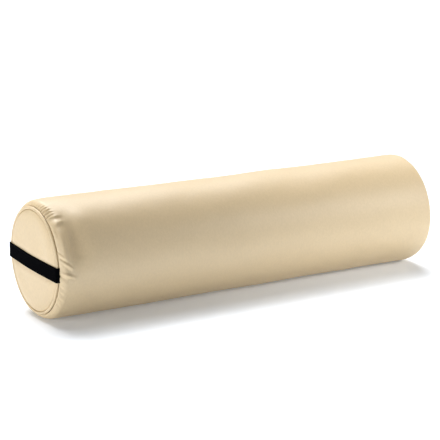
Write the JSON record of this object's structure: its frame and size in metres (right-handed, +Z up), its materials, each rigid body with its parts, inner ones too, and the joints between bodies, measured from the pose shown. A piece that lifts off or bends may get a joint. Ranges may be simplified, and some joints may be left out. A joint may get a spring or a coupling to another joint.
{
  "type": "massage bolster",
  "caption": "Full round massage bolster: a long foam cylinder in a zipped, piped cream vinyl cover, with a black webbing handle across one end.",
  "frame": {"origin": "on the pressed strip that the body rests on, under the body's axis and midway between the end seams", "axes": "+X along the body, away from the handle; +Y towards the side with the zip; +Z up"},
  "size_m": [0.6858, 0.1819, 0.175],
  "materials": {
    "vinyl": "satin, with a fine grain",
    "webbing": "woven, low sheen",
    "foam": "open-cell, matte",
    "batting": "fibrous, matte",
    "piping_cord": "twisted, matte",
    "thread": "bonded, low sheen",
    "zip_tape": "woven, matte",
    "zip_coil": "satin",
    "zip_metal": "satin nickel"
  },
  "bodies": {
    "root": {"wrap_panel": "vinyl", "end_panel_left": "vinyl", "end_panel_right": "vinyl", "piping_cover_left": "vinyl", "piping_cover_right": "vinyl", "strap_tail_front": "webbing", "strap_tail_rear": "webbing", "foam_core": "foam", "batting_wrap": "batting", "batting_pad_left": "batting", "batting_pad_right": "batting", "piping_cord_left": "piping_cord", "piping_cord_right": "piping_cord", "seam_thread_left": "thread", "seam_thread_right": "thread", "zip_stitching_upper": "thread", "zip_stitching_lower": "thread", "zip_tape_upper": "zip_tape", "zip_tape_lower": "zip_tape", "zip_coil_upper": "zip_coil", "zip_coil_lower": "zip_coil", "zip_top_stops": "zip_metal", "zip_bottom_stop": "zip_metal"},
    "strap_grip": {"strap_grip": "webbing"},
    "zip_slider": {"zip_slider": "zip_metal", "zip_pull_pin": "zip_metal"},
    "zip_pull": {"zip_pull": "zip_metal"}
  },
  "joints": [
    {"name": "strap_pull", "type": "slide", "parent": "root", "child": "strap_grip", "axis": [-1, 0, 0], "range_m": [0, 0.02], "stiffness_N_per_m": 500},
    {"name": "zip_slide", "type": "slide", "parent": "root", "child": "zip_slider", "axis": [1, 0, 0], "range_m": [0, 0.54]},
    {"name": "pull_flip", "type": "hinge", "parent": "zip_slider", "child": "zip_pull", "pos_m": [-0.27, 0.09092, 0.10583], "axis": [0, -0.2079, 0.9781], "range_deg": [0, 180]}
  ]
}
